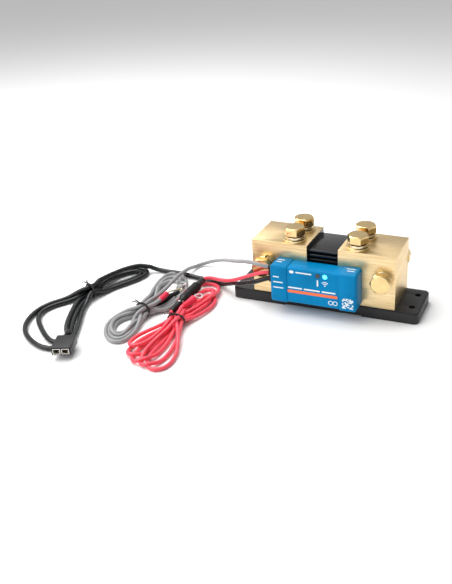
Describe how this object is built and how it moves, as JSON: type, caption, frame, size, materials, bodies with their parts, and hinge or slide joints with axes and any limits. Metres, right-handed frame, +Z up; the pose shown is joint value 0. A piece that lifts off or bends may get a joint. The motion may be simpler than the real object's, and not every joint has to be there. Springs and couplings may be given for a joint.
{
  "type": "battery monitor shunt",
  "caption": "Heavy battery shunt: brass terminal blocks bridged by black resistor plates on a moulded base, with a monitor module in front and its coiled grey, red and black leads.",
  "frame": {"origin": "centre of the four mounting holes, on the plane that the base stands on", "axes": "+X from the left terminal block to the right one, -Y towards the monitor module, +Z up"},
  "size_m": [0.318, 0.1963, 0.0705],
  "materials": {
    "base_plastic": "fine moulded grain",
    "brass": "brushed along the block",
    "plate_enamel": "glossy black lacquer",
    "yellow_zinc": "yellow passivated zinc plate",
    "spring_steel": "bright zinc plate",
    "washer_zinc": "yellow passivated zinc plate",
    "screw_steel": "zinc plated",
    "housing_blue": "satin moulded",
    "board_green": "solder resist",
    "chip_black": "moulded package",
    "tin": "tin plate",
    "socket_ivory": "nylon",
    "window_dark": "clear, unlit",
    "window_lit": "clear, lit blue",
    "grommet_rubber": "matt",
    "jacket_grey": "satin PVC jacket",
    "jacket_red": "glossy silicone jacket",
    "jacket_black": "satin PVC jacket",
    "tie_wire": "plastic coated wire",
    "holder_black": "satin moulded",
    "sleeve_red": "shrunk sleeve",
    "wire_cream": "thin insulated wire",
    "plug_black": "satin moulded",
    "contact_gold": "gold flash"
  },
  "bodies": {
    "root": {"base": "base_plastic", "base_screws": "screw_steel", "block_left": "brass", "block_right": "brass", "resistor_plates": "plate_enamel", "back_shell": "housing_blue", "front_cover": "housing_blue", "end_cap_left": "housing_blue", "end_cap_right": "housing_blue", "circuit_board": "board_green", "board_chips": "chip_black", "radio_can": "tin", "lead_sockets": "socket_ivory", "sense_posts": "brass", "sense_screws": "screw_steel", "status_window": "window_dark", "radio_window": "window_lit", "lead_grommets": "grommet_rubber", "grey_lead": "jacket_grey", "grey_hank": "jacket_grey", "grey_tie": "tie_wire", "grey_fuse_holder": "holder_black", "grey_sleeve": "sleeve_red", "grey_wires": "wire_cream", "grey_ring": "tin", "red_lead": "jacket_red", "red_hank": "jacket_red", "red_tie": "tie_wire", "red_fuse_holder": "holder_black", "red_fuse_cap": "holder_black", "red_fuse": "tin", "red_boot": "sleeve_red", "red_ring": "tin", "black_lead": "jacket_black", "black_hank": "jacket_black", "black_tie": "tie_wire", "black_plug": "plug_black", "plug_contacts": "contact_gold"},
    "washers_left_front_top": {"washer_left_front_top": "washer_zinc", "spring_left_front_top": "spring_steel"},
    "bolt_left_front_top": {"bolt_left_front_top": "yellow_zinc"},
    "washers_left_rear_top": {"washer_left_rear_top": "washer_zinc", "spring_left_rear_top": "spring_steel"},
    "bolt_left_rear_top": {"bolt_left_rear_top": "yellow_zinc"},
    "washers_left_front_side": {"spring_left_front_side": "spring_steel"},
    "bolt_left_front_side": {"bolt_left_front_side": "yellow_zinc"},
    "washers_left_rear_side": {"washer_left_rear_side": "washer_zinc", "spring_left_rear_side": "spring_steel"},
    "bolt_left_rear_side": {"bolt_left_rear_side": "yellow_zinc"},
    "washers_right_front_top": {"washer_right_front_top": "washer_zinc", "spring_right_front_top": "spring_steel"},
    "bolt_right_front_top": {"bolt_right_front_top": "yellow_zinc"},
    "washers_right_rear_top": {"washer_right_rear_top": "washer_zinc", "spring_right_rear_top": "spring_steel"},
    "bolt_right_rear_top": {"bolt_right_rear_top": "yellow_zinc"},
    "washers_right_front_side": {"spring_right_front_side": "spring_steel"},
    "bolt_right_front_side": {"bolt_right_front_side": "yellow_zinc"},
    "washers_right_rear_side": {"washer_right_rear_side": "washer_zinc", "spring_right_rear_side": "spring_steel"},
    "bolt_right_rear_side": {"bolt_right_rear_side": "yellow_zinc"}
  },
  "joints": [
    {"name": "left_front_top_lift", "type": "slide", "parent": "root", "child": "washers_left_front_top", "axis": [0, 0, 1], "range_m": [0, 0.015]},
    {"name": "left_front_top_turn", "type": "hinge", "parent": "washers_left_front_top", "child": "bolt_left_front_top", "pos_m": [-0.028, -0.0115, 0.0584], "axis": [0, 0, 1], "range_deg": [0, 3600]},
    {"name": "left_rear_top_lift", "type": "slide", "parent": "root", "child": "washers_left_rear_top", "axis": [0, 0, 1], "range_m": [0, 0.015]},
    {"name": "left_rear_top_turn", "type": "hinge", "parent": "washers_left_rear_top", "child": "bolt_left_rear_top", "pos_m": [-0.028, 0.0115, 0.0584], "axis": [0, 0, 1], "range_deg": [0, 3600]},
    {"name": "left_front_side_lift", "type": "slide", "parent": "root", "child": "washers_left_front_side", "axis": [0, -1, 0], "range_m": [0, 0.0015]},
    {"name": "left_front_side_turn", "type": "hinge", "parent": "washers_left_front_side", "child": "bolt_left_front_side", "pos_m": [-0.0525, -0.022, 0.036], "axis": [0, -1, 0], "range_deg": [0, 360]},
    {"name": "left_rear_side_lift", "type": "slide", "parent": "root", "child": "washers_left_rear_side", "axis": [0, 1, 0], "range_m": [0, 0.012]},
    {"name": "left_rear_side_turn", "type": "hinge", "parent": "washers_left_rear_side", "child": "bolt_left_rear_side", "pos_m": [-0.055, 0.022, 0.039], "axis": [0, 1, 0], "range_deg": [0, 2880]},
    {"name": "right_front_top_lift", "type": "slide", "parent": "root", "child": "washers_right_front_top", "axis": [0, 0, 1], "range_m": [0, 0.015]},
    {"name": "right_front_top_turn", "type": "hinge", "parent": "washers_right_front_top", "child": "bolt_right_front_top", "pos_m": [0.028, -0.0115, 0.0584], "axis": [0, 0, 1], "range_deg": [0, 3600]},
    {"name": "right_rear_top_lift", "type": "slide", "parent": "root", "child": "washers_right_rear_top", "axis": [0, 0, 1], "range_m": [0, 0.015]},
    {"name": "right_rear_top_turn", "type": "hinge", "parent": "washers_right_rear_top", "child": "bolt_right_rear_top", "pos_m": [0.028, 0.0115, 0.0584], "axis": [0, 0, 1], "range_deg": [0, 3600]},
    {"name": "right_front_side_lift", "type": "slide", "parent": "root", "child": "washers_right_front_side", "axis": [0, -1, 0], "range_m": [0, 0.012]},
    {"name": "right_front_side_turn", "type": "hinge", "parent": "washers_right_front_side", "child": "bolt_right_front_side", "pos_m": [0.0525, -0.022, 0.036], "axis": [0, -1, 0], "range_deg": [0, 2880]},
    {"name": "right_rear_side_lift", "type": "slide", "parent": "root", "child": "washers_right_rear_side", "axis": [0, 1, 0], "range_m": [0, 0.012]},
    {"name": "right_rear_side_turn", "type": "hinge", "parent": "washers_right_rear_side", "child": "bolt_right_rear_side", "pos_m": [0.055, 0.022, 0.039], "axis": [0, 1, 0], "range_deg": [0, 2880]}
  ],
  "couplings": [
    {"joint": "left_front_top_lift", "follows": "left_front_top_turn", "m_per_rad": 0.00023873},
    {"joint": "left_rear_top_lift", "follows": "left_rear_top_turn", "m_per_rad": 0.00023873},
    {"joint": "left_front_side_lift", "follows": "left_front_side_turn", "m_per_rad": 0.00023873},
    {"joint": "left_rear_side_lift", "follows": "left_rear_side_turn", "m_per_rad": 0.00023873},
    {"joint": "right_front_top_lift", "follows": "right_front_top_turn", "m_per_rad": 0.00023873},
    {"joint": "right_rear_top_lift", "follows": "right_rear_top_turn", "m_per_rad": 0.00023873},
    {"joint": "right_front_side_lift", "follows": "right_front_side_turn", "m_per_rad": 0.00023873},
    {"joint": "right_rear_side_lift", "follows": "right_rear_side_turn", "m_per_rad": 0.00023873}
  ]
}
